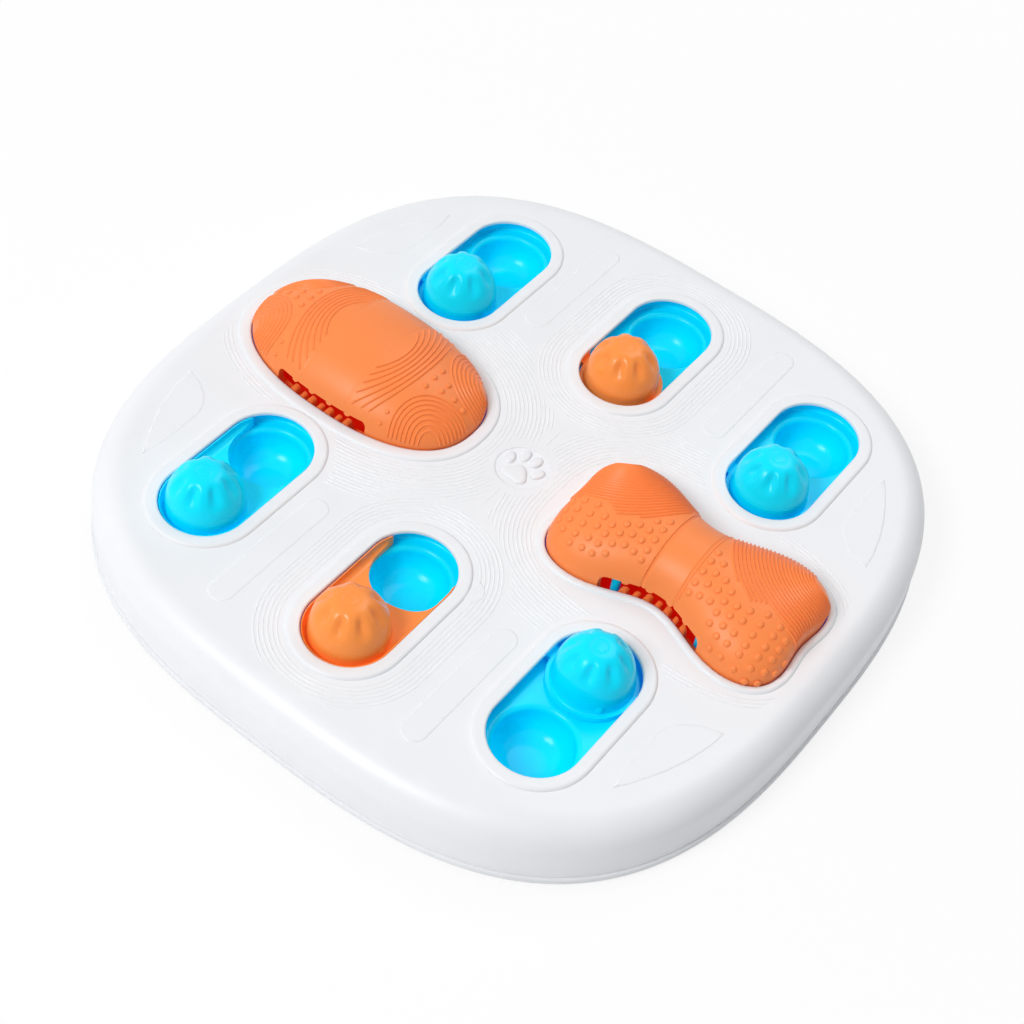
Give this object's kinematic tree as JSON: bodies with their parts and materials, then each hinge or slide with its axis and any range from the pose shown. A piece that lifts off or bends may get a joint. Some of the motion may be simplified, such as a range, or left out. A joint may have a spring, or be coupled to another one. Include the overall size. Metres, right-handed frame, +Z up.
{
  "type": "slow feeder puzzle board",
  "caption": "Rounded square puzzle feeder with sliding knobs and lift-out lids over food cups, and an oval and a bone treat toy in nests.",
  "frame": {"origin": "on the floor, under the middle of the board", "axes": "+X from the oval toy to the bone toy, +Y along the slots away from the front, +Z up"},
  "size_m": [0.3, 0.3, 0.0503],
  "materials": {
    "white": "satin moulded white plastic",
    "base_white": "satin moulded white plastic",
    "tray_blue": "glossy moulded blue plastic",
    "piece_blue": "glossy moulded blue plastic",
    "piece_orange": "glossy moulded orange plastic",
    "toy_rubber": "satin orange rubber",
    "foot_rubber": "matt grey rubber",
    "steel": "plain steel screws"
  },
  "bodies": {
    "board": {"top_cover": "white", "base_pan": "base_white", "rubber_feet": "foot_rubber", "base_screws": "steel", "tray_screws": "steel", "tray_back_left": "tray_blue", "tray_back_middle": "tray_blue", "tray_back_right": "tray_blue", "tray_front_left": "tray_blue", "tray_front_middle": "tray_blue", "tray_front_right": "tray_blue", "oval_nest": "tray_blue", "bone_nest": "tray_blue"},
    "slider_back_left": {"runner_back_left": "piece_blue", "knob_back_left": "piece_blue", "knob_screw_back_left": "steel"},
    "slider_back_middle": {"runner_back_middle": "piece_orange", "knob_back_middle": "piece_orange", "knob_screw_back_middle": "steel"},
    "slider_back_right": {"runner_back_right": "piece_blue", "knob_back_right": "piece_blue", "knob_screw_back_right": "steel"},
    "slider_front_right": {"runner_front_right": "piece_blue", "knob_front_right": "piece_blue", "knob_screw_front_right": "steel"},
    "lift_lid_front_left": {"lid_front_left": "piece_blue", "knob_front_left": "piece_blue", "knob_screw_front_left": "steel"},
    "lift_lid_front_middle": {"lid_front_middle": "piece_orange", "knob_front_middle": "piece_orange", "knob_screw_front_middle": "steel"},
    "oval_toy": {"oval_upper": "toy_rubber", "oval_lower": "toy_rubber"},
    "bone_toy": {"bone_upper": "toy_rubber", "bone_lower": "toy_rubber"}
  },
  "joints": [
    {"name": "slide_back_left", "type": "slide", "parent": "board", "child": "slider_back_left", "axis": [0, 1, 0], "range_m": [0, 0.0348]},
    {"name": "slide_back_middle", "type": "slide", "parent": "board", "child": "slider_back_middle", "axis": [0, 1, 0], "range_m": [0, 0.0348]},
    {"name": "slide_back_right", "type": "slide", "parent": "board", "child": "slider_back_right", "axis": [0, 1, 0], "range_m": [0, 0.0348]},
    {"name": "slide_front_right", "type": "slide", "parent": "board", "child": "slider_front_right", "axis": [0, -1, 0], "range_m": [0, 0.0348]},
    {"name": "lift_front_left", "type": "slide", "parent": "board", "child": "lift_lid_front_left", "axis": [0, 0, 1], "range_m": [0, 0.04]},
    {"name": "lift_front_middle", "type": "slide", "parent": "board", "child": "lift_lid_front_middle", "axis": [0, 0, 1], "range_m": [0, 0.04]},
    {"name": "lift_oval_toy", "type": "slide", "parent": "board", "child": "oval_toy", "axis": [0, 0, 1], "range_m": [0, 0.06]},
    {"name": "lift_bone_toy", "type": "slide", "parent": "board", "child": "bone_toy", "axis": [0, 0, 1], "range_m": [0, 0.06]}
  ]
}
